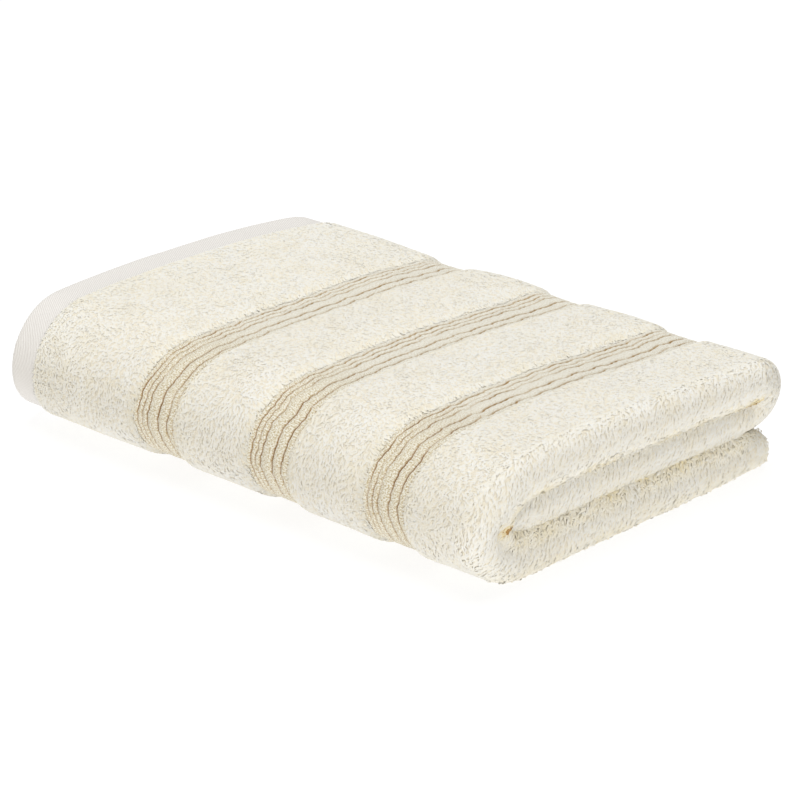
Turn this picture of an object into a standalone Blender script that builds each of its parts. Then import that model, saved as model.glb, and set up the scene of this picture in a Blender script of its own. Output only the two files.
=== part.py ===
"""A terry hand towel, 50 x 100 cm, folded in half twice along its length, then in three across.

The towel is one cloth, so it is one solid. A short table for each folding gives its runs and
turns. The first folding carries the cloth into a panel of four layers, and the second carries
that panel into a stack of three. Small functions then settle the stack as soft cloth does.

Frame, in metres: +X runs along the long sides to the folded end, +Y across the stack to the
side where the upper two panels join, and +Z up. The hem that shows lies at the -X end. The
origin is the middle of the footprint, on the surface that the towel rests on.
"""
import bpy
import math
import numpy as np
from collections import namedtuple

# ---- driving dimensions, metres
FOLDED_LENGTH = 0.254
FOLDED_WIDTH = 0.180
LAYER = 0.00394           # one layer of terry: its ground and the pile on both faces
LAYER_GAP = 0.00045       # between the four layers of a panel
PANEL_GAP = 0.0008        # between the three panels of the stack
LAYER_PITCH = LAYER + LAYER_GAP
PANEL = 4 * LAYER + 3 * LAYER_GAP
PANEL_PITCH = PANEL + PANEL_GAP

# ---- first folding, along the length
END_DEPTH = 0.0070         # how far the folded end bulges past its straight layers
FIRST_FOLD_INSET = 0.0050  # the first fold stays this short of the hem
HIDDEN_HEM_INSET = 0.0030  # and so does the other hem

# ---- second folding, across the width
NEAR_FOLD_RATIO = 1.29     # depth of the near fold against its half height
FAR_FOLD_RATIO = 1.02
LOWER_EDGE_INSET = 0.0100  # the bottom panel's selvedge stays short of the far side
TUCK = 0.0080              # how far the tucked panel reaches into the near fold
TUCK_PINCH = 0.70          # and how thin it is pressed there
TUCK_TAPER = 0.0200

# ---- the outer layer: hem and borders, as distances from the hem's edge
HEM_WIDTH = 0.0125
HEM_SINK = 0.0013          # below the top of the pile
BORDER_WIDTH = 0.0225
BORDER_SINK = 0.0018
BORDER_STEP = 0.0015       # width of the step down from the pile
BORDER_STARTS = (0.0748, 0.1345, 0.1944)
# one row for each groove of a border: place across it (share of its width), depth in metres
GROOVES = (
    (0.13, 0.0006),
    (0.25, 0.0006),
    (0.38, 0.0007),
    (0.63, 0.0009),
    (0.85, 0.0009),
)

# ---- how the stack settles
HEM_END_HEIGHT = 0.96      # height at the hem end against the folded end
FAR_SIDE_HEIGHT = 0.95     # height at the far side against the near side
CROWN = 0.081              # share of the height lost half the width away from the crown
CROWN_Y = -0.012
BORDER_DIP = 0.022         # the stack is this share lower along a border
MIDDLE_RECESS = 0.0060     # the tucked panel's folded end stays behind the others
LOWER_RECESS = 0.0035
RECESS_REACH = 0.0700      # length over which that recess fades out
CORNER_REACH = 0.0500      # length over which the rounded corners fade out
HEM_END, FOLDED_END = -1, 1
NEAR_SIDE, FAR_SIDE = -1, 1
# one row for each corner of the stack seen from above: end, side, radius of its rounding
# across the stack, and how far that draws the corner in along the length
CORNERS = (
    (HEM_END, NEAR_SIDE, 0.0500, 0.0065),
    (HEM_END, FAR_SIDE, 0.0450, 0.0095),
    (FOLDED_END, NEAR_SIDE, 0.0260, 0.0055),
    (FOLDED_END, FAR_SIDE, 0.0220, 0.0030),
)
RIM_WIDTH = 0.0026         # the thin edge of the cloth
RIM_THICKNESS = 0.55       # its thickness there against the full layer

TERRY_COLOR = (0.86, 0.83, 0.73, 1.0)

FIRST_CROWN = 0.0400       # highest places of the end panels, as distances from the hem
LAST_CROWN = 0.2360

# The rows of a folding. A run goes straight and has points at the given distances. A turn goes
# half round to its side, and its depth is its ratio times half its height. Each row also has
# the recess of the folded end where it stops.
Run = namedtuple("Run", "stops recess")
Turn = namedtuple("Turn", "height ratio side steps recess")
RIGHT, LEFT = 1, -1


def crowns_and_dips():
    """Distances from the hem's edge where the stack is highest, between borders, or lowest."""
    dips = [start + BORDER_WIDTH / 2 for start in BORDER_STARTS]
    crowns = [(a + b) / 2 for a, b in zip(dips, dips[1:])]
    return [FIRST_CROWN] + crowns + [LAST_CROWN], dips


def outer_layer_stations():
    """Distances from the hem's edge of the rows of points on the outer layer, with their sinks."""
    rows = [(0.0, HEM_SINK), (RIM_WIDTH, HEM_SINK), (HEM_WIDTH, HEM_SINK),
            (HEM_WIDTH + BORDER_STEP, 0.0)]
    rows += [(crown, 0.0) for crown in crowns_and_dips()[0]]
    for start in BORDER_STARTS:
        rows.append((start - BORDER_STEP, 0.0))
        rows.append((start, BORDER_SINK))
        for (place, depth), (next_place, _) in zip(GROOVES, GROOVES[1:] + ((1.0, 0.0),)):
            rows.append((start + place * BORDER_WIDTH, BORDER_SINK + depth))
            rib = (place + next_place) / 2 if next_place < 1.0 else 1.0
            rows.append((start + rib * BORDER_WIDTH, BORDER_SINK))
        rows.append((start + BORDER_WIDTH + BORDER_STEP, 0.0))
    return sorted(rows)


def length_folding():
    """Start, heading and rows of the folding along the length, from the hem that shows."""
    hem_x = -FOLDED_LENGTH / 2
    end_x = FOLDED_LENGTH / 2 - END_DEPTH
    wrap_height = 3 * LAYER_PITCH
    wrap_ratio = (END_DEPTH - LAYER / 2) / (wrap_height / 2)
    first_fold_x = hem_x + FIRST_FOLD_INSET + LAYER / 2 + LAYER_PITCH / 2
    inner_turn_x = end_x - LAYER_PITCH / 2
    hidden_hem_x = hem_x + HIDDEN_HEM_INSET

    crowns, dips = crowns_and_dips()
    bends = [hem_x + distance for distance in crowns + dips]

    def inner_run(from_x, to_x, extra=()):
        low, high = sorted((from_x, to_x))
        places = [x for x in bends if low + RIM_WIDTH < x < high - RIM_WIDTH]
        return Run(sorted(abs(x - from_x) for x in [*places, *extra, to_x]), 0.0)

    outer_stops = [distance for distance, _ in outer_layer_stations()[1:]]
    rows = (
        Run(outer_stops + [end_x - hem_x], 0.0),
        Turn(wrap_height, wrap_ratio, RIGHT, 7, 0.0),
        inner_run(end_x, first_fold_x),
        Turn(LAYER_PITCH, 1.0, RIGHT, 4, 0.0),
        inner_run(first_fold_x, inner_turn_x),
        Turn(LAYER_PITCH, 1.0, LEFT, 4, 0.0),
        inner_run(inner_turn_x, hidden_hem_x, [hidden_hem_x + RIM_WIDTH]),
    )
    return (hem_x, PANEL - LAYER / 2), 1, 0.0, rows


def width_folding():
    """Start, heading, recess and rows of the folding across the width, from the lower selvedge."""
    near_y = -FOLDED_WIDTH / 2 + PANEL / 2 + PANEL_PITCH * NEAR_FOLD_RATIO
    far_y = FOLDED_WIDTH / 2 - PANEL / 2 - PANEL_PITCH / 2 * FAR_FOLD_RATIO
    start_y = FOLDED_WIDTH / 2 - LOWER_EDGE_INSET
    lower = start_y - near_y
    upper = far_y - near_y
    tucked = upper + TUCK

    def even(length, steps):
        return [length * i / steps for i in range(1, steps + 1)]

    rows = (
        Run([RIM_WIDTH] + even(lower, 4), LOWER_RECESS),
        Turn(2 * PANEL_PITCH, NEAR_FOLD_RATIO, RIGHT, 9, 0.0),
        Run(even(upper, 5), 0.0),
        Turn(PANEL_PITCH, FAR_FOLD_RATIO, RIGHT, 7, MIDDLE_RECESS),
        Run(even(tucked, 4)[:-1] + [tucked - RIM_WIDTH, tucked], MIDDLE_RECESS),
    )
    return (start_y, PANEL / 2), -1, LOWER_RECESS, rows


def follow_folding(start, heading, recess, rows):
    """Points, left-hand normals, travelled distances and recesses along a folding's middle line.

    A turn is half an ellipse: at an angle t from 0 to pi its point lies depth * sin(t) ahead
    and half * cos(t) to the left of the ellipse's centre, on a turn to the right.
    """
    points, normals, travel, recesses = [start], [(0.0, float(heading))], [0.0], [recess]
    for row in rows:
        origin, before = points[-1], travel[-1]
        if isinstance(row, Run):
            for distance in row.stops:
                points.append((origin[0] + heading * distance, origin[1]))
                normals.append((0.0, float(heading)))
                travel.append(before + distance)
            count = len(row.stops)
        else:
            half = row.height / 2
            depth = half * row.ratio
            centre = origin[1] - heading * row.side * half
            for step in range(1, row.steps + 1):
                ahead = math.sin(math.pi * step / row.steps)
                left = math.cos(math.pi * step / row.steps)
                points.append((origin[0] + heading * depth * ahead,
                               centre + heading * row.side * half * left))
                normal = (heading * row.side * ahead / depth, heading * left / half)
                size = math.hypot(*normal)
                normals.append((normal[0] / size, normal[1] / size))
                travel.append(travel[-1] + math.dist(points[-1], points[-2]))
            count = row.steps
            heading = -heading
        recesses += [recess + (row.recess - recess) * i / count for i in range(1, count + 1)]
        recess = row.recess
    return np.array(points), np.array(normals), np.array(travel), np.array(recesses)


def ramp(value):
    """0 below 0, 1 above 1, and a smooth step between."""
    share = np.clip(value, 0.0, 1.0)
    return share * share * (3 - 2 * share)


def face_offsets(row_count):
    """Half thickness of the cloth on either side of its middle line at each row."""
    above = np.full(row_count, LAYER / 2)
    below = np.full(row_count, LAYER / 2)
    sinks = np.array([sink for _, sink in outer_layer_stations()])
    above[:len(sinks)] -= sinks
    for edge in (0, -1):
        above[edge] *= RIM_THICKNESS
        below[edge] *= RIM_THICKNESS
    return above, below


def settled(x, y, z, recess):
    """The stack after it settles: ends drawn in, corners rounded, and heights uneven."""
    half_length = FOLDED_LENGTH / 2
    x = x - recess * ramp((x - half_length + RECESS_REACH) / RECESS_REACH)
    for end, side, radius, pull in CORNERS:
        past = np.clip((side * y - FOLDED_WIDTH / 2 + radius) / radius, 0.0, 1.0)
        drawn_in = pull * (1 - np.sqrt(1 - past * past))
        x = x - end * drawn_in * ramp((end * x - half_length + CORNER_REACH) / CORNER_REACH)

    crowns, dips = crowns_and_dips()
    bends = sorted([(d, 1.0) for d in crowns] + [(d, 1.0 - BORDER_DIP) for d in dips])
    from_hem = x + half_length
    wave = np.interp(from_hem, [d for d, _ in bends], [share for _, share in bends])
    lengthwise = HEM_END_HEIGHT + (1 - HEM_END_HEIGHT) * from_hem / FOLDED_LENGTH
    across = 1 + (FAR_SIDE_HEIGHT - 1) * (y / FOLDED_WIDTH + 0.5)
    across = across - CROWN * ((y - CROWN_Y) / (FOLDED_WIDTH / 2)) ** 2
    return x, y, z * wave * lengthwise * across


def cloth_points():
    """Both faces of the folded cloth, each as an array of rows by columns by XYZ.

    A point of the length folding, moved along its normal to a face, gives X and a height in
    the panel. That height, counted from the panel's middle, is the way along the normal of
    the width folding, which gives Y and Z.
    """
    line, line_normal, _, _ = follow_folding(*length_folding())
    path, path_normal, path_travel, recess = follow_folding(*width_folding())
    above, below = face_offsets(len(line))

    rim = np.ones(len(path))
    rim[0] = rim[-1] = RIM_THICKNESS
    pinch = np.interp(path_travel[-1] - path_travel, [0.0, TUCK_TAPER], [TUCK_PINCH, 1.0])
    faces = []
    for offset in (above, -below):
        reach = offset[:, None] * rim[None, :]
        x = line[:, 0, None] + line_normal[:, 0, None] * reach
        height = line[:, 1, None] + line_normal[:, 1, None] * reach
        from_middle = (height - PANEL / 2) * pinch
        y = path[None, :, 0] + path_normal[None, :, 0] * from_middle
        z = path[None, :, 1] + path_normal[None, :, 1] * from_middle
        x, y, z = settled(x, y, z, recess[None, :])
        faces.append(np.stack([x, y, z], axis=-1))
    return faces


def cloth_faces(rows, columns):
    """Quads of both faces of the cloth and of the rim that joins them."""
    count = rows * columns
    quads = []
    for i in range(rows - 1):
        for j in range(columns - 1):
            a = i * columns + j
            b = a + columns
            quads.append((a, b, b + 1, a + 1))
            quads.append((count + a, count + a + 1, count + b + 1, count + b))
    edge = list(range(columns))
    edge += [i * columns + columns - 1 for i in range(1, rows)]
    edge += [(rows - 1) * columns + j for j in range(columns - 2, -1, -1)]
    edge += [i * columns for i in range(rows - 2, 0, -1)]
    for a, b in zip(edge, edge[1:] + edge[:1]):
        quads.append((a, b, count + b, count + a))
    return quads


def terry_material():
    material = bpy.data.materials.new("terry")
    material.use_nodes = True
    shader = material.node_tree.nodes["Principled BSDF"]
    shader.inputs["Base Color"].default_value = TERRY_COLOR
    shader.inputs["Roughness"].default_value = 0.95
    shader.inputs["Metallic"].default_value = 0.0
    return material


def build_towel():
    above, below = cloth_points()
    rows, columns = above.shape[:2]
    points = np.concatenate([above.reshape(-1, 3), below.reshape(-1, 3)])
    middle = (points.min(axis=0) + points.max(axis=0)) / 2
    points[:, :2] -= middle[:2]    # the origin is the middle of the footprint
    mesh = bpy.data.meshes.new("towel")
    mesh.from_pydata(points.tolist(), [], cloth_faces(rows, columns))
    mesh.materials.append(terry_material())
    mesh.shade_smooth()
    mesh.set_sharp_from_angle(angle=math.radians(60))
    towel = bpy.data.objects.new("towel", mesh)
    bpy.context.scene.collection.objects.link(towel)
    return towel


for old in list(bpy.data.objects):
    bpy.data.objects.remove(old)
build_towel()
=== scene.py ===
"""A folded terry hand towel: its cloth, its woven borders and its pile.

Everything follows one mapping, on_cloth(along, across, lift), from a place on the flat cloth to
its place in the folded stack. The cloth's own sheet, the three borders and every lock of the
pile are grids or profiles in those cloth coordinates, so they follow each fold.

Lengths are metres. along is counted from the edge of the hem that shows, across from the
selvedge of the bottom panel, and lift from the middle of the cloth's thickness, outwards.
"""
import bpy
import math
import numpy as np
from collections import namedtuple
from functools import cache
from mathutils import Matrix, Vector


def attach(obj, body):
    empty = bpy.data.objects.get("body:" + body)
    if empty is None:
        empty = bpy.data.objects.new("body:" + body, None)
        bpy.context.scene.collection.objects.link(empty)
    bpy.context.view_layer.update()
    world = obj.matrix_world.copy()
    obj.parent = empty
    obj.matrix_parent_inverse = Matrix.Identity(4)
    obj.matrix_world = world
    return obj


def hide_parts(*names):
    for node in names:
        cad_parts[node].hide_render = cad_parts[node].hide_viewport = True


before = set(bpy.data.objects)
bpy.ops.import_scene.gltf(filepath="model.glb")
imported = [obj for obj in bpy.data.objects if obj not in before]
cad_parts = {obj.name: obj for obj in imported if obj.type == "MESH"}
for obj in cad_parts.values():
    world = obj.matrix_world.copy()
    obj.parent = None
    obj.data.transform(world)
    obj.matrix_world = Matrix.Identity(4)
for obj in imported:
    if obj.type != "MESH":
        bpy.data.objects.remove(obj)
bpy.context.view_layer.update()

# ---- the folded cloth, as in the part's source
FOLDED_LENGTH = 0.254
FOLDED_WIDTH = 0.180
LAYER = 0.00394
LAYER_GAP = 0.00045
PANEL_GAP = 0.0008
LAYER_PITCH = LAYER + LAYER_GAP
PANEL = 4 * LAYER + 3 * LAYER_GAP
PANEL_PITCH = PANEL + PANEL_GAP
END_DEPTH = 0.0070
FIRST_FOLD_INSET = 0.0050
HIDDEN_HEM_INSET = 0.0030
NEAR_FOLD_RATIO = 1.29
FAR_FOLD_RATIO = 1.02
LOWER_EDGE_INSET = 0.0100
TUCK = 0.0080
TUCK_PINCH = 0.70
TUCK_TAPER = 0.0200
HEM_WIDTH = 0.0125
HEM_SINK = 0.0013
BORDER_WIDTH = 0.0225
BORDER_SINK = 0.0018
BORDER_STARTS = (0.0748, 0.1345, 0.1944)

# ---- how the stack settles, as in the part's source
HEM_END_HEIGHT = 0.96
FAR_SIDE_HEIGHT = 0.95
CROWN = 0.081
CROWN_Y = -0.012
BORDER_DIP = 0.022
MIDDLE_RECESS = 0.0060
LOWER_RECESS = 0.0035
RECESS_REACH = 0.0700
CORNER_REACH = 0.0500
FIRST_CROWN = 0.0400
LAST_CROWN = 0.2360
HEM_END, FOLDED_END = -1, 1
NEAR_SIDE, FAR_SIDE = -1, 1
Corner = namedtuple("Corner", "end side radius pull")
CORNERS = (
    Corner(HEM_END, NEAR_SIDE, 0.0500, 0.0065),
    Corner(HEM_END, FAR_SIDE, 0.0450, 0.0095),
    Corner(FOLDED_END, NEAR_SIDE, 0.0260, 0.0055),
    Corner(FOLDED_END, FAR_SIDE, 0.0220, 0.0030),
)

# ---- lifts from the middle of the cloth
PILE_TOP = LAYER / 2
GROUND = 0.00165  # the woven ground that the pile grows from
HEM_TOP = PILE_TOP - HEM_SINK
BORDER_TOP = PILE_TOP - BORDER_SINK
BORDER_BED = BORDER_TOP - 0.0014  # the sheet below a border's own weave
SHOULDER = 0.0022  # the pile's ground sinks to a border or the hem over this distance
CREASE_REACH = 0.35  # of the way round a panel's end, on each side of a crease
CREASE_FILL = 0.0024  # the cloth comes this much closer in a crease
NEAR_FOLD_FILL = 0.0052  # and this much inside the near fold, which closes there
NEAR_FOLD_FULL = 1.2
CREASE_END = 0.02  # a crease runs out so close to the bottom panel's selvedge
HEM_FLAT = 0.0140  # the hem with the start of the pile, which lies over its edge
FLAT_STRETCHES = [(-1.0, HEM_FLAT, HEM_TOP)]  # the hem, as if it began far before its edge
FLAT_STRETCHES += [(start, start + BORDER_WIDTH, BORDER_TOP) for start in BORDER_STARTS]
EDGE_ROUND = 0.0013  # radius of the cloth's edges

# ---- soft unevenness of the whole stack: cells of noise and their reach
UNEVEN = ((0.040, 0.0007), (0.014, 0.00022))
FLOOR_EASE = 0.008  # the stack stays flat on the floor and moves freely above this

SEED = 11  # every random draw adds its own number to this one
NOISE_CELLS = 32
FINE_STEPS, BOX_STEPS = 2000, 400
SAME_PLACE = 0.0001  # places on the cloth that are less than this apart are one
PLAIN_ALONG, PLAIN_ACROSS = 0.12, 0.3  # away from the turns, where steps are measured out
CREASE_STOP = 0.01  # from the first fold and from the far one

Run = namedtuple("Run", "length recess")
Turn = namedtuple("Turn", "height ratio side recess")
Line = namedtuple("Line", "travel place height normal_place normal_height recess ends")
RIGHT, LEFT = 1, -1
TURN_STEPS = 90
PAST_TURN = 1e-7  # a run's first point stands so far past the turn before it


# ---- the mapping from flat cloth to stack

def ramp(value):
    """0 below 0, 1 above 1, and a smooth step between."""
    share = np.clip(value, 0.0, 1.0)
    return share * share * (3 - 2 * share)


def smooth_noise(points, cell, seed):
    """Values from -1 to 1 that vary over about one cell.

    Random numbers stand at the corners of a cubic lattice, and a point takes their mean,
    weighted along each axis with the smooth step of its place in its cell.
    """
    lattice = np.random.default_rng(seed).uniform(-1, 1, (NOISE_CELLS,) * 3)
    place = points / cell
    corner = np.floor(place).astype(int)
    share = ramp(place - corner)
    total = np.zeros(points.shape[:-1])
    for i, j, k in np.ndindex(2, 2, 2):
        step = np.array((i, j, k))
        weight = np.prod(np.where(step == 1, share, 1 - share), axis=-1)
        low, mid, high = np.moveaxis((corner + step) % NOISE_CELLS, -1, 0)
        total += weight * lattice[low, mid, high]
    return total


def follow(start, heading, recess, rows):
    """A folding's middle line as a table of points: runs go straight, and turns are half ellipses.

    On a turn to the right, the point at angle t lies depth * sin(t) ahead of the ellipse's
    centre and half * cos(t) to its left, with the ellipse's own normal.
    """
    travel, recesses, ends = [np.zeros(1)], [np.array([recess])], [0.0]
    place, height = [np.array([start[0]])], [np.array([start[1]])]
    normal_place, normal_height = [np.zeros(1)], [np.array([float(heading)])]
    for row in rows:
        from_place, from_height = place[-1][-1], height[-1][-1]
        if isinstance(row, Run):
            way = np.array([PAST_TURN, row.length])
            place.append(from_place + heading * way)
            height.append(np.full(2, from_height))
            normal_place.append(np.zeros(2))
            normal_height.append(np.full(2, float(heading)))
        else:
            angle = np.linspace(0, math.pi, TURN_STEPS + 1)[1:]
            half = row.height / 2
            depth = half * row.ratio
            turned = heading * row.side
            place.append(from_place + heading * depth * np.sin(angle))
            height.append(from_height + turned * half * (np.cos(angle) - 1))
            size = np.hypot(np.sin(angle) / depth, np.cos(angle) / half)
            normal_place.append(turned * np.sin(angle) / depth / size)
            normal_height.append(heading * np.cos(angle) / half / size)
            heading = -heading
            steps = np.hypot(np.diff(place[-1], prepend=from_place),
                             np.diff(height[-1], prepend=from_height))
            way = np.cumsum(steps)
        share = way / way[-1]
        travel.append(ends[-1] + way)
        recesses.append(recess + (row.recess - recess) * share)
        recess = row.recess
        ends.append(ends[-1] + way[-1])
    columns = [np.concatenate(c) for c in
               (travel, place, height, normal_place, normal_height, recesses)]
    return Line(*columns, ends)


def length_line():
    """The folding along the length, from the hem that shows to the hidden one."""
    hem_x = -FOLDED_LENGTH / 2
    end_x = FOLDED_LENGTH / 2 - END_DEPTH
    wrap_height = 3 * LAYER_PITCH
    wrap_ratio = (END_DEPTH - LAYER / 2) / (wrap_height / 2)
    first_fold_x = hem_x + FIRST_FOLD_INSET + LAYER / 2 + LAYER_PITCH / 2
    inner_turn_x = end_x - LAYER_PITCH / 2
    rows = (
        Run(end_x - hem_x, 0.0),
        Turn(wrap_height, wrap_ratio, RIGHT, 0.0),
        Run(end_x - first_fold_x, 0.0),
        Turn(LAYER_PITCH, 1.0, RIGHT, 0.0),
        Run(inner_turn_x - first_fold_x, 0.0),
        Turn(LAYER_PITCH, 1.0, LEFT, 0.0),
        Run(inner_turn_x - hem_x - HIDDEN_HEM_INSET, 0.0),
    )
    return follow((hem_x, PANEL - LAYER / 2), 1, 0.0, rows)


def width_line():
    """The folding across the width, from the bottom panel's selvedge to the tucked one."""
    near_y = -FOLDED_WIDTH / 2 + PANEL / 2 + PANEL_PITCH * NEAR_FOLD_RATIO
    far_y = FOLDED_WIDTH / 2 - PANEL / 2 - PANEL_PITCH / 2 * FAR_FOLD_RATIO
    start_y = FOLDED_WIDTH / 2 - LOWER_EDGE_INSET
    rows = (
        Run(start_y - near_y, LOWER_RECESS),
        Turn(2 * PANEL_PITCH, NEAR_FOLD_RATIO, RIGHT, 0.0),
        Run(far_y - near_y, 0.0),
        Turn(PANEL_PITCH, FAR_FOLD_RATIO, RIGHT, MIDDLE_RECESS),
        Run(far_y - near_y + TUCK, MIDDLE_RECESS),
    )
    return follow((start_y, PANEL / 2), -1, LOWER_RECESS, rows)


LENGTH_LINE = length_line()
WIDTH_LINE = width_line()
# ends of the rows of each folding, as distances along it
(_, OUTER_END, WRAP_END, FIRST_FOLD_START, FIRST_FOLD_END,
 INNER_TURN_START, INNER_TURN_END, CLOTH_LENGTH) = LENGTH_LINE.ends
(_, NEAR_TURN_START, NEAR_TURN_END, FAR_TURN_START, FAR_TURN_END, CLOTH_WIDTH) = WIDTH_LINE.ends


def settled(x, y, z, recess):
    """The stack after it settles: ends drawn in, corners rounded, and heights uneven.

    The folded end goes back by the recess, with a smooth step. A corner is drawn in by a quarter
    circle over its radius, scaled to its pull. A height is multiplied by a wave along X that dips
    at the borders, by a slope along X, and by a slope across Y less a parabola.
    """
    half_length = FOLDED_LENGTH / 2
    x = x - recess * ramp((x - half_length + RECESS_REACH) / RECESS_REACH)
    for corner in CORNERS:
        past = (corner.side * y - FOLDED_WIDTH / 2 + corner.radius) / corner.radius
        past = np.clip(past, 0.0, 1.0)
        drawn_in = corner.pull * (1 - np.sqrt(1 - past * past))
        near_end = ramp((corner.end * x - half_length + CORNER_REACH) / CORNER_REACH)
        x = x - corner.end * drawn_in * near_end

    dips = [start + BORDER_WIDTH / 2 for start in BORDER_STARTS]
    crowns = [FIRST_CROWN] + [(a + b) / 2 for a, b in zip(dips, dips[1:])] + [LAST_CROWN]
    bends = sorted([(d, 1.0) for d in crowns] + [(d, 1.0 - BORDER_DIP) for d in dips])
    from_hem = x + half_length
    wave = soft_interp(from_hem, bends)
    lengthwise = HEM_END_HEIGHT + (1 - HEM_END_HEIGHT) * from_hem / FOLDED_LENGTH
    across = 1 + (FAR_SIDE_HEIGHT - 1) * (y / FOLDED_WIDTH + 0.5)
    across = across - CROWN * ((y - CROWN_Y) / (FOLDED_WIDTH / 2)) ** 2
    return np.stack([x, y, z * wave * lengthwise * across], axis=-1)


def soft_interp(value, rows):
    """Goes from each row's value to the next with a smooth step."""
    places = np.array([place for place, _ in rows])
    heights = np.array([height for _, height in rows])
    index = np.clip(np.searchsorted(places, value) - 1, 0, len(places) - 2)
    share = ramp((value - places[index]) / (places[index + 1] - places[index]))
    return heights[index] + (heights[index + 1] - heights[index]) * share


def unevened(points):
    """Moves points by two scales of smooth noise, and leaves the underside flat."""
    moved = points.copy()
    ease = ramp(points[..., 2] / FLOOR_EASE)
    for level, (cell, reach) in enumerate(UNEVEN):
        for axis in range(3):
            shift = reach * smooth_noise(points, cell, SEED + 10 * level + axis)
            moved[..., axis] += shift * (ease if axis == 2 else 1.0)
    return moved


def folded_place(along, across, lift):
    """The place in the stack before the soft unevenness and the centring.

    The point of the length folding, moved along its normal by the lift, gives X and a height
    in the panel. That height, from the panel's middle, is the way along the normal of the
    width folding, which gives Y and Z. Past a selvedge the cloth goes straight on, towards -Y
    at both ends of the folding.
    """
    along, across = np.broadcast_arrays(along, across)
    x, height, normal_x, normal_height = (
        np.interp(along, LENGTH_LINE.travel, column) for column in LENGTH_LINE[1:5])
    y, z, normal_y, normal_z, recess = (
        np.interp(across, WIDTH_LINE.travel, column) for column in WIDTH_LINE[1:6])
    y = y - (across - np.clip(across, 0.0, CLOTH_WIDTH))
    pinch = np.interp(CLOTH_WIDTH - across, [0.0, TUCK_TAPER], [TUCK_PINCH, 1.0])
    from_middle = (height + normal_height * lift - PANEL / 2) * pinch
    return settled(x + normal_x * lift, y + normal_y * from_middle,
                   z + normal_z * from_middle, recess)


def beside_flat(along):
    """Distance to the nearest hem or border, the way to it (1 is ahead), and its lift."""
    along = np.asarray(along, dtype=float)
    distance, way = np.full(along.shape, np.inf), np.zeros(along.shape)
    low = np.full(along.shape, GROUND)
    for start, end, top in FLAT_STRETCHES:
        gap = np.maximum(np.maximum(start - along, along - end), 0.0)
        nearer = gap < distance
        distance = np.where(nearer, gap, distance)
        way = np.where(nearer, np.where(along < (start + end) / 2, 1.0, -1.0), way)
        low = np.where(nearer, top, low)
    return distance, way, low


def ground_lift(along, across):
    """Lift of the ground weave, with the creases between the panels' ends filled a little.

    From the lift of a flat stretch, it rises as a sine's first quarter.
    """
    distance, _, low = beside_flat(along)
    rise = np.sin(np.clip(distance / SHOULDER, 0, 1) * math.pi / 2)
    middle, half = (NEAR_TURN_START + NEAR_TURN_END) / 2, (NEAR_TURN_END - NEAR_TURN_START) / 2
    inside_fold = ramp(NEAR_FOLD_FULL * (1 - np.abs(across - middle) / half))
    fill = CREASE_FILL + (NEAR_FOLD_FILL - CREASE_FILL) * inside_fold
    return low + (GROUND - low) * rise + fill * in_crease(along, across)


def in_crease(along, across):
    """1 in the creases between the panels' ends, and 0 away from them.

    Going round a panel's end, the crease comes last, and on the middle panel also first.
    """
    share = (along - OUTER_END) / (WRAP_END - OUTER_END)
    last = ramp((share - 1 + CREASE_REACH) / CREASE_REACH)
    first = ramp((CREASE_REACH - share) / CREASE_REACH)
    first = first * ramp((across - FAR_TURN_END) / CREASE_STOP)
    at_end = (share > 0) & (along < FIRST_FOLD_START - CREASE_STOP)
    return np.where(at_end, np.maximum(last, first) * ramp(across / CREASE_END), 0.0)


def footprint_middle():
    """The middle of the stack's box seen from above, from its outer face."""
    along = np.linspace(0, CLOTH_LENGTH, BOX_STEPS)[:, None]
    points = folded_place(along, np.linspace(0, CLOTH_WIDTH, BOX_STEPS), PILE_TOP)
    middle = (points.min(axis=(0, 1)) + points.max(axis=(0, 1))) / 2
    return middle * (1, 1, 0)


MIDDLE = footprint_middle()


def on_cloth(along, across, lift):
    """The place in the folded stack of points on the flat cloth, as an array ending in XYZ."""
    return unevened(folded_place(along, across, lift) - MIDDLE)


def evenly(fine, points, step):
    """Of the fine places, those whose points lie about one step apart."""
    way = np.concatenate([[0], np.cumsum(np.linalg.norm(np.diff(points, axis=0), axis=1))])
    count = max(2, round(way[-1] / step) + 1)
    return np.interp(np.linspace(0, way[-1], count), way, fine)


def even_across(start, end, step):
    """Places across the cloth that lie about one step apart on its outer face."""
    fine = np.linspace(start, end, FINE_STEPS)
    return evenly(fine, folded_place(PLAIN_ALONG, fine, PILE_TOP), step)


def even_along(start, end, step):
    """Places along the cloth that lie about one step apart on its outer face."""
    fine = np.linspace(start, end, FINE_STEPS)
    return evenly(fine, folded_place(fine, PLAIN_ACROSS, PILE_TOP), step)


# ---- meshes

def new_object(name, data):
    """An object that holds the data, in the scene."""
    made = bpy.data.objects.new(name, data)
    bpy.context.scene.collection.objects.link(made)
    return made


def new_mesh(name, points, faces, attributes=(), uv=None, normals=None):
    """A mesh object from whole arrays: points, faces, and values, a UV or a normal per point."""
    grid, points = points.shape[:-1], points.reshape(-1, 3)
    sides = faces.shape[1]
    mesh = bpy.data.meshes.new(name)
    mesh.vertices.add(len(points))
    mesh.vertices.foreach_set("co", points.ravel())
    mesh.loops.add(faces.size)
    mesh.loops.foreach_set("vertex_index", faces.ravel())
    mesh.polygons.add(len(faces))
    mesh.polygons.foreach_set("loop_start", np.arange(0, faces.size, sides))
    mesh.polygons.foreach_set("loop_total", np.full(len(faces), sides))
    mesh.update(calc_edges=True)
    for label, values in attributes:
        layer = mesh.attributes.new(label, "FLOAT", "POINT")
        layer.data.foreach_set("value", np.broadcast_to(values, grid).astype(np.float32).ravel())
    if uv is not None:
        layer = mesh.uv_layers.new(name="cloth")
        layer.data.foreach_set("uv", uv.reshape(-1, 2)[faces.ravel()].ravel())
    mesh.shade_smooth()
    if normals is not None:
        mesh.normals_split_custom_set_from_vertices(normals.reshape(-1, 3))
    piece = new_object(name, mesh)
    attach(piece, "root")
    return piece


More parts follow.
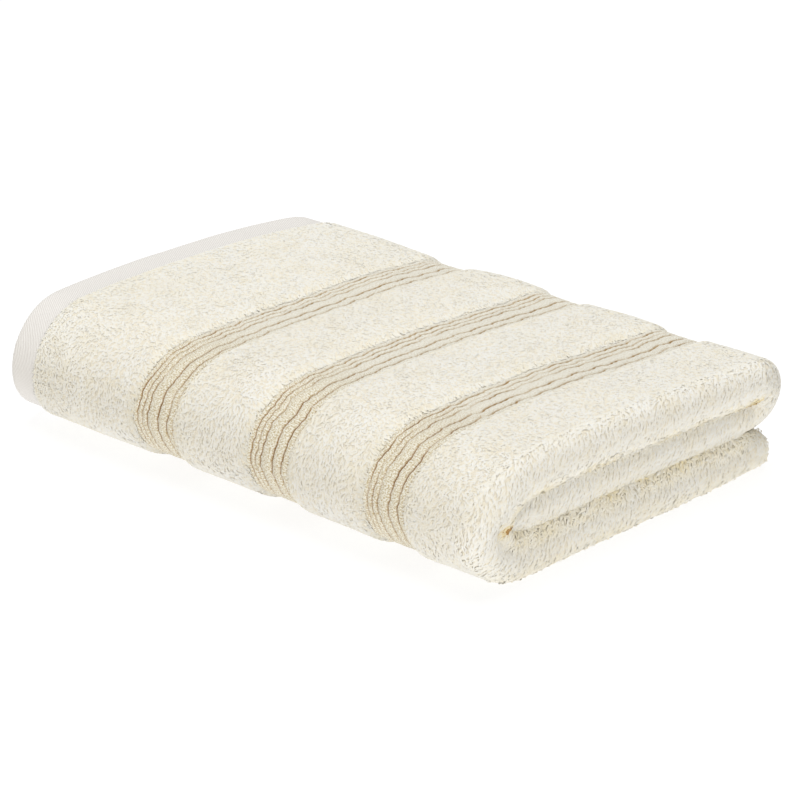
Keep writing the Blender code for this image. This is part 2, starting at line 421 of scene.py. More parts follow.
def grid_faces(rows, columns, first=0, flip=False):
    """Quads of a grid of points stored row by row, starting at point number first."""
    corner = first + np.arange(rows - 1)[:, None] * columns + np.arange(columns - 1)[None, :]
    quads = np.stack([corner, corner + columns, corner + columns + 1, corner + 1], axis=-1)
    quads = quads.reshape(-1, 4)
    return quads[:, ::-1] if flip else quads


def rim_faces(rows, columns):
    """Quads that join the rim of one grid to the rim of the next one of the same size."""
    count = rows * columns
    edge = np.concatenate([
        np.arange(columns),
        np.arange(1, rows) * columns + columns - 1,
        (rows - 1) * columns + np.arange(columns - 2, -1, -1),
        np.arange(rows - 2, 0, -1) * columns,
    ])
    after = np.roll(edge, -1)
    return np.stack([edge, after, after + count, edge + count], axis=-1)


# ---- the cloth's own sheet

# steps between rows of points: on plain parts, on hidden layers, on the hem and round the folds
SHEET_STEP, SHEET_STEP_HIDDEN, SHEET_FINE, SHEET_TURN = 0.0046, 0.01, 0.0012, 0.0016
TURN_ROWS = 9  # at least
EDGE_ROWS = EDGE_ROUND * np.array([0.0, 0.12, 0.4, 1.0])
SHOULDER_ROWS = SHOULDER * np.array([0.0, 0.2, 0.45, 0.7, 1.0])
BED_SLOPE = 0.0012  # the sheet goes down to the bed under a border over this distance
EDGE_LAP = 0.0001  # a border's edge lies this far over the sheet
PAST_END, PAST_FOLD = 0.006, 0.004  # the ground that carries pile reaches so far past these
EDGE_THINNEST = 0.25  # of the half thickness, at the very edge of the cloth


def sheet_rows():
    """Places along the cloth of the sheet's rows: close at hems, borders and turns."""
    parts = [EDGE_ROWS, np.arange(EDGE_ROUND, HEM_FLAT, SHEET_FINE), HEM_FLAT + SHOULDER_ROWS]
    for start in BORDER_STARTS:
        end = start + BORDER_WIDTH
        parts += [start - SHOULDER_ROWS, [start + BED_SLOPE, end - BED_SLOPE],
                  end + SHOULDER_ROWS]
    for start, end in ((OUTER_END, WRAP_END), (FIRST_FOLD_START, FIRST_FOLD_END),
                       (INNER_TURN_START, INNER_TURN_END)):
        rows = max(TURN_ROWS, round((end - start) / SHEET_TURN))
        parts.append(np.linspace(start, end, rows))
    parts.append(CLOTH_LENGTH - EDGE_ROWS)
    stops = np.unique(np.concatenate(parts).round(7))
    steps = np.where(stops < WRAP_END, SHEET_STEP, SHEET_STEP_HIDDEN)
    fill = [np.linspace(a, b, math.ceil((b - a) / step) + 1)[:-1]
            for a, b, step in zip(stops, stops[1:], steps)]
    return np.append(np.concatenate(fill), stops[-1])


def sheet_columns():
    """Places across the cloth of the sheet's columns."""
    inside = even_across(EDGE_ROUND, CLOTH_WIDTH - EDGE_ROUND, SHEET_STEP)
    return np.unique(np.concatenate([EDGE_ROWS, inside, CLOTH_WIDTH - EDGE_ROWS]).round(7))


def sheet_lifts(along, across):
    """Lift of the outer and the inner face of the sheet, for rows along and columns across."""
    outer = np.full((len(along), len(across)), PILE_TOP)
    piled = along < WRAP_END + PAST_END
    piled |= (along > FIRST_FOLD_START - PAST_FOLD) & (along < FIRST_FOLD_END + PAST_FOLD)
    outer[piled] = ground_lift(along[piled, None], across[None, :])
    for start in BORDER_STARTS:
        past = np.minimum(along - start, start + BORDER_WIDTH - along)
        outer[np.abs(past) < SAME_PLACE] -= EDGE_LAP
        outer[past > SAME_PLACE] = BORDER_BED
    return outer, np.full_like(outer, -PILE_TOP)


def edge_share(distance):
    """Share of the half thickness at a distance from the cloth's edge: a quarter circle."""
    past = 1 - np.clip(distance / EDGE_ROUND, 0, 1)
    return EDGE_THINNEST + (1 - EDGE_THINNEST) * np.sqrt(1 - past * past)


def build_sheet():
    """The towel's ground cloth, closed, through all its layers.

    The outer and the inner face are one grid at two lifts, which come together in a quarter
    circle towards the cloth's edges, and quads join their rims. The hems and the selvedges have
    the twill, and the rest has the ground weave.
    """
    along, across = sheet_rows(), sheet_columns()
    rim = np.minimum(edge_share(np.minimum(along, CLOTH_LENGTH - along))[:, None],
                     edge_share(np.minimum(across, CLOTH_WIDTH - across))[None, :])
    faces = [on_cloth(along[:, None], across[None, :], lift * rim)
             for lift in sheet_lifts(along, across)]
    rows, columns = len(along), len(across)
    quads = np.concatenate([
        grid_faces(rows, columns),
        grid_faces(rows, columns, first=rows * columns, flip=True),
        rim_faces(rows, columns),
    ])
    flat = np.stack(np.broadcast_arrays(along[:, None], across[None, :]), axis=-1)
    sheet = new_mesh("towel_cloth", np.stack(faces), quads, uv=np.stack([flat, flat]))
    sheet.data.materials.append(ground_material())
    sheet.data.materials.append(hem_material())
    corner = quads.min(axis=1) % (rows * columns)
    at_along, at_across = along[corner // columns], across[corner % columns]
    woven = (at_along < HEM_FLAT - SAME_PLACE) | (at_along > CLOTH_LENGTH - HEM_WIDTH)
    woven |= (at_across < EDGE_ROUND) | (at_across > CLOTH_WIDTH - EDGE_ROUND - SAME_PLACE)
    sheet.data.polygons.foreach_set("material_index", woven.astype(np.int32))
    return sheet


# ---- the woven borders

Groove = namedtuple("Groove", "place depth half_width brown")
GROOVES = (
    Groove(0.035, 0.00015, 0.00030, 0.25),
    Groove(0.14, 0.00060, 0.00045, 0.95),
    Groove(0.26, 0.00045, 0.00038, 0.70),
    Groove(0.38, 0.00060, 0.00042, 0.85),
    Groove(0.63, 0.00095, 0.00052, 1.15),
    Groove(0.84, 0.00090, 0.00050, 1.00),
    Groove(0.965, 0.00015, 0.00030, 0.25),
)
# cross-section of a groove: places in half widths and depths as shares
GROOVE_PROFILE = ((-1.0, 0.0), (-0.42, 0.72), (0.0, 1.0), (0.42, 0.72), (1.0, 0.0))
RIB_CROWN, CROWNED_RIB = 0.00030, 0.0024  # a rib has its full crown if it is so wide
WIDE_RIB, ONE_ROW, TWO_ROWS = 0.0010, (0.5,), (0.3, 0.7)  # rows of points on its crown
RIM_ROW = 0.0003  # first row of points inside a border's edge
# kinks of the grooves: long ones, short ones, and one large elbow on the side, which stands at a
# share of the near fold
KINK_SPACING, KINK_REACH = 0.0058, 0.00085
WIGGLE_SPACING, WIGGLE_REACH = 0.0016, 0.00040
ELBOW_PLACE, ELBOW_REACH, ELBOW_HALF = 0.56, 0.0018, 0.0075
SHARED_KINKS, OWN_KINKS = 0.65, 0.5  # all grooves of a border share a line, and each has its own
KINK_JITTER, LEAST_KINK = 0.35, 0.1  # of a spacing, and of the reach
STRAIGHT_RIM = 0.0012  # the kinks fade over this distance to a border's edges
# a groove's depth varies along it, as a share of its own, and its brown varies more
GROOVE_STRENGTH, GROOVE_VARIES, BROWN_VARIES = 0.95, 0.45, 1.4
GROOVE_CELL, GROOVE_STREAK = 0.0022, (1, 0.4, 1)
# painted light and shade of the borders: darker and browner on the sides, paler on top
SIDE_SHADE_TINT, TOP_SHADE_TINT, FAR_SHADE_TINT = 1.0, 0.38, 0.80
SHADE_TINT_FADES = (-0.016, 0.030)  # from the near fold's end, where the side's tint goes to the top's
TOP_WIDENING = 0.8  # the grooves open where the cloth lies flat
BORDER_STEP_FINE, BORDER_STEP_HIDDEN = 0.00084, 0.0040
BORDER_INSET = 0.0015  # from the bottom panel's selvedge
BORDER_TUCK = 0.004  # past the far fold
BORDER_ROOT = 0.0004  # into its bed


def zigzag(across, spacing, reach, rng):
    """A kinked line: random places about one spacing apart, to alternate sides, joined straight."""
    knots = np.arange(across.min() - spacing, across.max() + 2 * spacing, spacing)
    sides = np.where(np.arange(len(knots)) % 2, 1.0, -1.0)
    knots = knots + rng.uniform(-KINK_JITTER, KINK_JITTER, len(knots)) * spacing
    values = sides * rng.uniform(LEAST_KINK, 1.0, len(knots)) * reach
    return np.interp(across, knots, values)


def border_profile():
    """Rows of a border: place across it, place in its groove, depth, and how brown it is."""
    rows = [(0.0, 0.0, 0.0, 0.0), (RIM_ROW, 0.0, 0.0, 0.0)]
    for groove, after in zip(GROOVES, GROOVES[1:] + (None,)):
        centre = groove.place * BORDER_WIDTH
        for share, depth in GROOVE_PROFILE:
            in_groove = share * groove.half_width
            rows.append((centre + in_groove, in_groove, depth * groove.depth,
                         depth * groove.brown))
        low = centre + groove.half_width
        high = (after.place * BORDER_WIDTH - after.half_width) if after else BORDER_WIDTH
        crown = RIB_CROWN * min(1.0, (high - low) / CROWNED_RIB)
        for share in TWO_ROWS if high - low > WIDE_RIB else ONE_ROW:
            rows.append((low + share * (high - low), 0.0, -crown, 0.0))
    rows.append((BORDER_WIDTH, 0.0, 0.0, 0.0))
    return np.array(rows)


def build_border(number, start):
    """One woven border: a grid over its face, closed below by one quad for each column.

    A row lies at its own place across the border, moved by the kinked line of the nearest
    grooves. Its lift is the border's top less the row's depth.
    """
    rng = np.random.default_rng(SEED + 100 + number)
    hidden = even_across(BORDER_INSET, NEAR_TURN_START, BORDER_STEP_HIDDEN)
    shown = even_across(NEAR_TURN_START, FAR_TURN_END + BORDER_TUCK, BORDER_STEP_FINE)
    across = np.concatenate([hidden[:-1], shown])
    place, in_groove, depth, grooved = border_profile().T[..., None]

    common = zigzag(across, KINK_SPACING, KINK_REACH, rng)
    elbow = NEAR_TURN_START + ELBOW_PLACE * (NEAR_TURN_END - NEAR_TURN_START)
    common -= ELBOW_REACH * np.clip(1 - np.abs(across - elbow) / ELBOW_HALF, 0, 1)
    lines = np.stack([
        SHARED_KINKS * common + zigzag(across, KINK_SPACING, OWN_KINKS * KINK_REACH, rng)
        + zigzag(across, WIGGLE_SPACING, WIGGLE_REACH, rng) for _ in GROOVES])
    centres = np.array([groove.place * BORDER_WIDTH for groove in GROOVES])
    weights = np.hstack([np.interp(place, centres, row) for row in np.eye(len(GROOVES))])
    from_rim = ramp(np.minimum(place, BORDER_WIDTH - place) / STRAIGHT_RIM)
    wander = (weights @ lines) * from_rim

    spots = np.stack(np.broadcast_arrays(start + place, across, 0.0), axis=-1)
    strength = GROOVE_STRENGTH + GROOVE_VARIES * smooth_noise(
        spots * GROOVE_STREAK, GROOVE_CELL, SEED + 130 + number)
    lift = BORDER_TOP - depth * np.where(depth > 0, strength, 1.0)
    middle_of_far = (FAR_TURN_START + FAR_TURN_END) / 2
    fade_start, fade_end = NEAR_TURN_END + np.array(SHADE_TINT_FADES)
    # painted light and shade: darker, browner sides and a paler top, as light falls on the borders
    shade_tint = soft_interp(across, [(0.0, SIDE_SHADE_TINT), (fade_start, SIDE_SHADE_TINT), (fade_end, TOP_SHADE_TINT),
                                (FAR_TURN_START, TOP_SHADE_TINT), (middle_of_far, FAR_SHADE_TINT),
                                (CLOTH_WIDTH, FAR_SHADE_TINT)])
    widened = TOP_WIDENING * in_groove * (1 - shade_tint)
    top = on_cloth(start + place + widened + wander, across, lift)

    skirt = on_cloth(start + np.array([[0.0], [BORDER_WIDTH]]), across, BORDER_BED - BORDER_ROOT)
    rows, columns = top.shape[:2]
    points = np.concatenate([skirt[:1], top, skirt[1:]])
    walls = grid_faces(rows + 2, columns)
    first, last = np.arange(columns), (rows + 1) * columns + np.arange(columns)
    floor = np.stack([last[:-1], first[:-1], first[1:], last[1:]], axis=-1)
    brown = grooved * (1 + BROWN_VARIES * (strength - 1))
    flat, brown = (np.concatenate([grid[:1], grid, grid[-1:]]) for grid in (spots[..., :2], brown))
    border = new_mesh(f"border_{number}", points, np.concatenate([walls, floor]),
                      attributes=[("groove", brown), ("shade_tint", shade_tint)], uv=flat)
    border.data.materials.append(border_material())
    return border


# ---- the pile

LOCK_SIDES = 3
# centre line of a lock: share of its reach, of its sideways curl and of its height
LOCK_LINE = np.array([
    (0.00, 0.00, -0.25),
    (0.45, 0.80, 0.95),
    (1.00, 0.00, 0.50),
])
LOCK_THICKNESS = np.array([0.85, 1.0])  # of its rings; its tip is a point
LOCK_FLATNESS = 0.42  # height of its section against its width
# the colour's painted shade goes from the root, at 0, to the tip
LOCK_LEVELS = (0.0, 0.0, 0.0, 0.7, 0.7, 0.7, 1.0)  # height of its points, for the colour
LOCK_HANG = (0.0, 0.0, 0.0, 0.3, 0.3, 0.3, 1.0)  # share of the droop of each of its points
# its triangles: the root, the sides between its two rings, 0-2 and 3-5, and those to its tip
LOCK_FACES = np.array([(2, 1, 0), (0, 1, 4), (0, 4, 3), (1, 2, 5), (1, 5, 4), (2, 0, 3),
                       (2, 3, 5), (3, 4, 6), (4, 5, 6), (5, 3, 6)])

# pull is a vector in the stack: gravity, and the way that the pile was brushed
# droop is how far a lock's tip hangs free of the cloth, along the pull
# bloom is what its height gains in the creases, where nothing presses on it
# own is the share of a lock's own roundness in its normals, and the rest is the cloth's normal,
# as light soaks through pile
# stray is how much higher than their neighbours a few locks stand, down by the floor
Pile = namedtuple("Pile", "spacing reach height radius swirl scatter pull droop bloom own stray")
SHOWN_PILE = Pile(0.00100, 0.0025, 0.00022, 0.00045, 0.8, 1.0, (0, 0, -1.6),
                  0.0003, 0.0, 0.13, 0.0)
END_PILE = Pile(0.00102, 0.0030, 0.00027, 0.00052, 0.6, 0.8, (0, -1.1, -1.9),
                0.0004, 0.0003, 0.20, 0.0006)
CREASE_PILE = Pile(0.0015, 0.0030, 0.00034, 0.00050, 0.5, 0.9, (0, -0.8, -1.2),
                   0.0004, 0.001, 0.26, 0.0)
BACK_PILE = Pile(0.00150, 0.0034, 0.00036, 0.00066, 0.8, 0.9, (0, 0, -1.6),
                 0.0005, 0.0, 0.26, 0.0)
UNDER_PILE = Pile(0.00260, 0.0042, 0.00034, 0.00105, 1.0, 0.9, (0, 0, 0),
                  0.0, 0.0, 0.38, 0.0)

# how a lock varies, in shares of its own size, gain or warmth; the curl is a share of its reach
REACH_VARIES, CURL_VARIES = (0.75, 1.2), (-0.45, 0.45)
HEIGHT_VARIES, BLOOM_VARIES = (0.82, 1.12), (0.2, 1.0)
RADIUS_VARIES, SHADE_VARIES = (0.8, 1.2), (0.3, 1.0)
JITTER = 0.38  # of a step
SWIRL_CELL = 0.0075
CLUMP_CELL, CLUMP_REACH = 0.0048, 0.00007
STRAY_SHARE, STRAY_BELOW = 0.10, 0.012
STRETCH_LIMITS = (0.25, 4.0)  # of the mapping, within which a lock keeps its size
NUDGE = 1e-4  # for the mapping's slopes
# beside a border or the hem locks lean over it, and at a selvedge past it, this far at most
EDGE_REACH, EDGE_LEAN, EDGE_SHORTER, EDGE_DENSITY = 0.0035, 1.2, 0.25, 1.1
SELVEDGE_LEAN, SELVEDGE_SHORTER, SELVEDGE_OVERHANG = 0.7, 0.45, 0.0006
FLOOR_CLEARANCE = 0.00005

# colour of a lock: its tone, and its painted shade, warmer and darker where the pile shades itself:
# in patches of the creases, beside the borders, low down and where its clumps stand highest
OWN_TONE, SHARED_TONE, TONE_CELL = 0.7, 0.5, 0.012
CREASE_SHADE, EDGE_SHADE, LOW_SHADE, CLUMP_SHADE = 0.9, 0.25, 0.50, 0.3
PATCH_MEAN, PATCH_VARIES, PATCH_CELL = 0.7, 0.8, 0.009
HEM_MARGIN = 0.01  # no such painted shade beside the hem
# painted shade, dark brown, where the creases are deepest
# deepest ends of the creases: inside the near fold, and where the middle panel leaves the far one
DEEP_SHADE_SPOTS = ((0.47 * NEAR_TURN_START + 0.53 * NEAR_TURN_END, 0.0065, 7.0),
              (FAR_TURN_START, 0.0160, 2.5))
# in the creases locks take the light as the whole folded end does
CREASE_NORMAL = Vector((1.0, -0.25, 0.3)).normalized()

# where the pile goes: distances of its roots and of their outermost rows from the selvedges, and
# of its bands from the hem and the borders
ROOT_MARGIN, ROW_MARGIN, UNDER_MARGIN = 0.0004, 0.0006, 0.0040
HEM_GAP, BORDER_GAP = 0.0007, 0.0002
BACK_SHARE = 0.35  # of the way round the far fold, where the coarser pile takes over
NEAR_OVERLAP = 0.004  # the close pile starts this far before the near fold
END_OVERLAP, FOLD_OVERLAP = 0.004, 0.003  # and goes on past the folded end and the first fold
END_ROWS = 0.95  # the folded end's rows are this much closer across than along
DEEP_IN_CREASE = 0.1


def scattered(along, across, rng):
    """A jittered grid of places from the two lists, with every second row moved half a step."""
    a, b = np.meshgrid(along, across, indexing="ij")
    step_a = np.gradient(along)[:, None]
    step_b = np.gradient(across)[None, :]
    b = b + (np.arange(len(along)) % 2)[:, None] * 0.5 * step_b
    a = a + rng.uniform(-JITTER, JITTER, a.shape) * step_a
    b = b + rng.uniform(-JITTER, JITTER, b.shape) * step_b
    return a.ravel(), np.clip(b.ravel(), ROOT_MARGIN, CLOTH_WIDTH - ROOT_MARGIN)


def unit(vectors):
    """The vectors divided by their lengths."""
    return vectors / np.maximum(np.linalg.norm(vectors, axis=-1, keepdims=True), 1e-9)


def build_pile(name, along, across, pile, seed):
    """Locks of pile at the given places, as one joined mesh.

    A lock is a tapered tube of three sides on a curved centre line. The line leaves the ground,
    bends over to the lock's own direction and droops to its tip. The direction is the sum of a
    swirl shared with its neighbours, a random part, and the pull of gravity along the cloth.
    """
    rng = np.random.default_rng(SEED + seed)
    count = len(along)
    here = on_cloth(along, across, PILE_TOP)
    way_along = (on_cloth(along + NUDGE, across, PILE_TOP) - here) / NUDGE
    way_across = (on_cloth(along, across + NUDGE, PILE_TOP) - here) / NUDGE
    stretch = np.linalg.norm(np.stack([way_along, way_across], axis=1), axis=2)
    stretch = np.clip(stretch, *STRETCH_LIMITS)
    pull = np.stack([way_along @ pile.pull, way_across @ pile.pull], axis=1) / stretch
    distance, way, _ = beside_flat(along)
    at_edge = 1 - ramp(distance / EDGE_REACH)
    at_selvedge = 1 - ramp(np.minimum(across, CLOTH_WIDTH - across) / EDGE_REACH)
    at_selvedge *= along > OUTER_END
    outwards = np.sign(across - CLOTH_WIDTH / 2)
    lean = np.stack([EDGE_LEAN * at_edge * way, SELVEDGE_LEAN * at_selvedge * outwards], axis=1)

    swirl = np.stack([smooth_noise(here, SWIRL_CELL, SEED + n) for n in (40, 41)], axis=1)
    angle = rng.uniform(0, 2 * math.pi, count)
    scatter = np.stack([np.cos(angle), np.sin(angle)], axis=1)
    forward = unit(pile.swirl * unit(swirl) + pile.scatter * scatter + pull + lean)
    side = np.stack([-forward[:, 1], forward[:, 0]], axis=1)

    clump = smooth_noise(here, CLUMP_CELL, SEED + 42)
    reach = pile.reach * rng.uniform(*REACH_VARIES, count)
    reach = reach * (1 - EDGE_SHORTER * at_edge) * (1 - SELVEDGE_SHORTER * at_selvedge)
    height = pile.height * rng.uniform(*HEIGHT_VARIES, count) + CLUMP_REACH * clump
    crease = in_crease(along, across)
    height += pile.bloom * crease * rng.uniform(*BLOOM_VARIES, count)
    low_down = ramp(1 - here[:, 2] / STRAY_BELOW)
    height += pile.stray * low_down * (rng.random(count) < STRAY_SHARE)
    curl = pile.reach * rng.uniform(*CURL_VARIES, count)
    radius = pile.radius * rng.uniform(*RADIUS_VARIES, count)

    ahead = LOCK_LINE[:, 0] * reach[:, None]
    aside = LOCK_LINE[:, 1] * curl[:, None]
    rise = LOCK_LINE[:, 2] * height[:, None]
    slope = unit(np.stack([np.gradient(ahead, axis=1), np.gradient(rise, axis=1)], axis=-1))

    turn = np.arange(LOCK_SIDES) * 2 * math.pi / LOCK_SIDES + math.pi / 2
    rings = radius[:, None, None] * LOCK_THICKNESS[None, :, None]
    ring_side = rings * np.cos(turn)
    ring_up = rings * np.sin(turn) * LOCK_FLATNESS
    ahead, aside, rise = (
        np.concatenate([(line[:, :-1, None] + ring).reshape(count, -1), line[:, -1:]], axis=1)
        for line, ring in ((ahead, -ring_up * slope[:, :-1, 1, None]), (aside, ring_side),
                           (rise, ring_up * slope[:, :-1, 0, None])))
    offset = (ahead[..., None] * forward[:, None, :] + aside[..., None] * side[:, None, :])
    offset = offset / stretch[:, None, :]
    along_points = along[:, None] + offset[..., 0]
    across_points = np.clip(across[:, None] + offset[..., 1],
                            -SELVEDGE_OVERHANG, CLOTH_WIDTH + SELVEDGE_OVERHANG)
    points = on_cloth(along_points, across_points,
                      ground_lift(along_points, across_points) + rise)
    face_normal = unit(np.cross(way_along, way_across))
    hang = unit(np.array([pile.pull], dtype=float))
    hang = hang - np.minimum(np.sum(hang * face_normal, axis=1), 0.0)[:, None] * face_normal
    points += pile.droop * np.array(LOCK_HANG)[None, :, None] * hang[:, None, :]
    points[..., 2] = np.maximum(points[..., 2], FLOOR_CLEARANCE)

    rings = points[:, :-1].reshape(count, len(LOCK_THICKNESS), LOCK_SIDES, 3)
    middles = rings.mean(axis=2, keepdims=True)
    own = unit(rings - middles).reshape(count, -1, 3)
    own_tip = unit(points[:, -1:] - middles[:, -1])
    soft = face_normal + (np.array(CREASE_NORMAL) - face_normal) * ramp(2 * crease)[:, None]
    normals = unit(pile.own * np.concatenate([own, own_tip], axis=1)
                   + (1 - pile.own) * soft[:, None, :])

    faces = LOCK_FACES + (np.arange(count) * points.shape[1])[:, None, None]
    tone = rng.uniform(-1, 1, count) * OWN_TONE
    tone = tone + SHARED_TONE * smooth_noise(here, TONE_CELL, SEED + 43)
    patches = PATCH_MEAN + PATCH_VARIES * smooth_noise(here, PATCH_CELL, SEED + 44)
    for place, reach_across, strength in DEEP_SHADE_SPOTS:
        patches += strength * ramp(1 - np.abs(across - place) / reach_across)
    # painted shade: warmer and darker in the creases, beside the borders, low down and at high
    # clumps
    at_border = at_edge * (along > HEM_FLAT + HEM_MARGIN)
    shade_warmth = CREASE_SHADE * crease * patches + EDGE_SHADE * at_border
    shade_warmth = shade_warmth + LOW_SHADE * low_down + CLUMP_SHADE * np.clip(clump, 0, 1)
    shade_warmth = shade_warmth * rng.uniform(*SHADE_VARIES, count)
    attributes = [("level", LOCK_LEVELS), ("tone", tone[:, None]), ("shade_warmth", shade_warmth[:, None])]
    piece = new_mesh(name, points, faces.reshape(-1, 3), attributes, normals=normals)
    piece.data.materials.append(pile_material())
    return piece


def pile_bands():
    """Stretches of the outer layer that carry pile: between the hem, the borders and the end."""
    starts = [HEM_FLAT + HEM_GAP]
    starts += [start + BORDER_WIDTH + BORDER_GAP for start in BORDER_STARTS]
    return list(zip(starts, [start - BORDER_GAP for start in BORDER_STARTS] + [OUTER_END]))


def even_steps(start, end, step):
    """Places from start to end, about one step apart."""
    return np.linspace(start, end, max(2, round((end - start) / step) + 1))


def band_rows(start, end, step):
    """Places along a band, closer together where its ground slopes down to a flat stretch."""
    fine = np.linspace(start, end, FINE_STEPS)
    density = 1 + EDGE_DENSITY * (1 - ramp(beside_flat(fine)[0] / EDGE_REACH))
    way = np.cumsum(density) * (fine[1] - fine[0])
    count = max(2, round((way[-1] - way[0]) / step) + 1)
    return np.interp(np.linspace(way[0], way[-1], count), way, fine)


def build_all_pile():
    """The pile of the outer layer in bands, then of the folded end, its creases and the fold."""
    rng = np.random.default_rng(SEED + 200)
    back_start = FAR_TURN_START + BACK_SHARE * (FAR_TURN_END - FAR_TURN_START)
    near_start = NEAR_TURN_START - NEAR_OVERLAP
    pieces = []
    for number, (start, end) in enumerate(pile_bands(), 1):
        across = even_across(near_start, back_start, SHOWN_PILE.spacing)
        along, across = scattered(band_rows(start, end, SHOWN_PILE.spacing), across, rng)
        pieces.append(build_pile(f"pile_band_{number}", along, across, SHOWN_PILE, number))

    back, under = [], []
    for start, end in pile_bands():
        across = even_across(back_start, FAR_TURN_END, BACK_PILE.spacing)
        back.append(scattered(band_rows(start, end, BACK_PILE.spacing), across, rng))
        across = even_across(UNDER_MARGIN, near_start, UNDER_PILE.spacing)
        under.append(scattered(even_steps(start, end, UNDER_PILE.spacing), across, rng))
    for name, parts, pile, seed in (("pile_far_side", back, BACK_PILE, 6),
                                    ("pile_underside", under, UNDER_PILE, 7)):
        along, across = (np.concatenate(column) for column in zip(*parts))
        pieces.append(build_pile(name, along, across, pile, seed))

    for name, start, end, row_share, pile, seed in (
            ("pile_folded_end", OUTER_END, WRAP_END + END_OVERLAP, END_ROWS, END_PILE, 8),
            ("pile_creases", OUTER_END, WRAP_END, 1.0, CREASE_PILE, 10),
            ("pile_first_fold", FIRST_FOLD_START - FOLD_OVERLAP, FIRST_FOLD_END + FOLD_OVERLAP,
             1.0, BACK_PILE, 9)):
        across = even_steps(ROW_MARGIN, CLOTH_WIDTH - ROW_MARGIN, pile.spacing * row_share)
        along, across = scattered(even_along(start, end, pile.spacing), across, rng)
        if pile is CREASE_PILE:
            deep = in_crease(along, across) > DEEP_IN_CREASE
            along, across = along[deep], across[deep]
        pieces.append(build_pile(name, along, across, pile, seed))
    return pieces


# ---- materials

# painted shade: a lock is warmer and darker at its root, where the loops shade each other
PILE_ROOT_SHADE = (0.87, 0.80, 0.635, 1.0)
PILE_TIP = (0.89, 0.881, 0.84, 1.0)
# painted shade: warm, and deep brown past it, where the pile shades itself
PILE_SHADE_WARM = (0.87, 0.755, 0.48, 1.0)
PILE_DEEP_SHADE = (0.46, 0.26, 0.08, 1.0)
TONE_REACH = 0.24
# the ground's colour, made warmer as painted shade where it shows between the loops
GROUND_COLOR_AND_SHADE = (0.87, 0.81, 0.68, 1.0)
HEM_COLOR = (0.87, 0.845, 0.815, 1.0)
HEM_LINE = (0.69, 0.65, 0.61, 1.0)
RIB_COLOR = (0.82, 0.775, 0.64, 1.0)
RIB_PALE = (0.91, 0.90, 0.845, 1.0)  # white floats, and the painted light of the ribs on top
RIB_SPECK = (0.48, 0.355, 0.16, 1.0)
GROOVE_COLOR = (0.33, 0.165, 0.04, 1.0)
# the grooves' paler brown on top is painted light
GROOVE_PALE = (0.43, 0.285, 0.085, 1.0)
TWILL_PITCH = 0.00100
WEAVE_PITCH = 0.00060
FLOAT_SCALE = (1400.0, 2300.0, 1.0)  # turns a UV in metres into specks that lie along the cloth
# noise where the brown and the white specks of a border start and are full, and their most
BROWN_GRAINS, WHITE_GRAINS = (0.44, 0.66, 1.0), (0.46, 0.34, 0.7)
LEAST_SPECKS = 0.35
GROOVE_GAIN, GROOVE_GAIN_FALL = 1.2, 0.1
YARN_ROUGHNESS = 0.6
GROUND_SHADE = 0.92
TWILL_CONTRAST, HEM_PATCHES = 0.9, 0.12
CLOTH_SPECULAR, SHEEN_ROUGHNESS = 0.25, 0.6


class Nodes:
    """A short way to place nodes and join their sockets in one tree."""

    def __init__(self, tree):
        self.tree = tree

    def feed(self, node, inputs):
        """Links each input to a socket, or sets it to a value."""
        for key, value in dict(inputs).items():
            if isinstance(value, bpy.types.NodeSocket):
                self.tree.links.new(value, node.inputs[key])
            else:
                node.inputs[key].default_value = value
        return node

    def add(self, kind, inputs=(), **settings):
        node = self.tree.nodes.new(kind)
        for key, value in settings.items():
            setattr(node, key, value)
        return self.feed(node, inputs)

    def math(self, operation, *values):
        node = self.add("ShaderNodeMath", enumerate(values), operation=operation)
        return node.outputs[0]

    def clamp(self, value):
        return self.add("ShaderNodeClamp", {0: value}).outputs[0]

    def attribute(self, name):
        return self.add("ShaderNodeAttribute", attribute_name=name).outputs["Fac"]

    def mix(self, factor, first, second):
        node = self.add("ShaderNodeMix", {0: factor, 6: first, 7: second}, data_type="RGBA")
        return node.outputs[2]

    def group(self, group, inputs=()):
        return self.add("ShaderNodeGroup", inputs, node_tree=group)

    def finish(self, shader, colour, height=None, distance=0.0, strength=0.0):
        """Feeds the shader its colour, and a bump if there is a height."""
        self.feed(shader, {"Base Color": colour})
        if height is not None:
            bump = self.add("ShaderNodeBump", {"Height": height, "Distance": distance,
                                               "Strength": strength})
            self.feed(shader, {"Normal": bump.outputs[0]})


def new_material(name, roughness, sheen):
    """A material of cloth, with its nodes and its shader."""
    material = bpy.data.materials.new(name)
    material.use_nodes = True
    nodes = Nodes(material.node_tree)
    shader = nodes.feed(nodes.tree.nodes["Principled BSDF"], {
        "Roughness": roughness, "Specular IOR Level": CLOTH_SPECULAR, "Sheen Weight": sheen,
        "Sheen Roughness": SHEEN_ROUGHNESS})
    return material, nodes, shader


def new_group(name, inputs, outputs):
    """An empty shader group with the named inputs and outputs."""
    group = bpy.data.node_groups.new(name, "ShaderNodeTree")
    for label, kind, value in inputs:
        socket = group.interface.new_socket(label, in_out="INPUT", socket_type=kind)
        if value is not None:
            socket.default_value = value
    for label, kind in outputs:
        group.interface.new_socket(label, in_out="OUTPUT", socket_type=kind)
    nodes = Nodes(group)
    return group, nodes, nodes.add("NodeGroupInput"), nodes.add("NodeGroupOutput")


@cache
def uneven_dye():
    """A mask of soft patches and fine specks, from Object coordinates."""
    group, nodes, source, sink = new_group(
        "uneven dye", [("Patch Scale", "NodeSocketFloat", 60.0),
                       ("Speck Scale", "NodeSocketFloat", 1500.0)],
        [("Patches", "NodeSocketFloat"), ("Specks", "NodeSocketFloat")])
    place = nodes.add("ShaderNodeTexCoord").outputs["Object"]
    for mask, scale, detail in (("Patches", "Patch Scale", 2.0), ("Specks", "Speck Scale", 1.0)):
        noise = nodes.add("ShaderNodeTexNoise", {
            "Vector": place, "Scale": source.outputs[scale], "Detail": detail})
        nodes.feed(sink, {mask: noise.outputs["Fac"]})
    return group


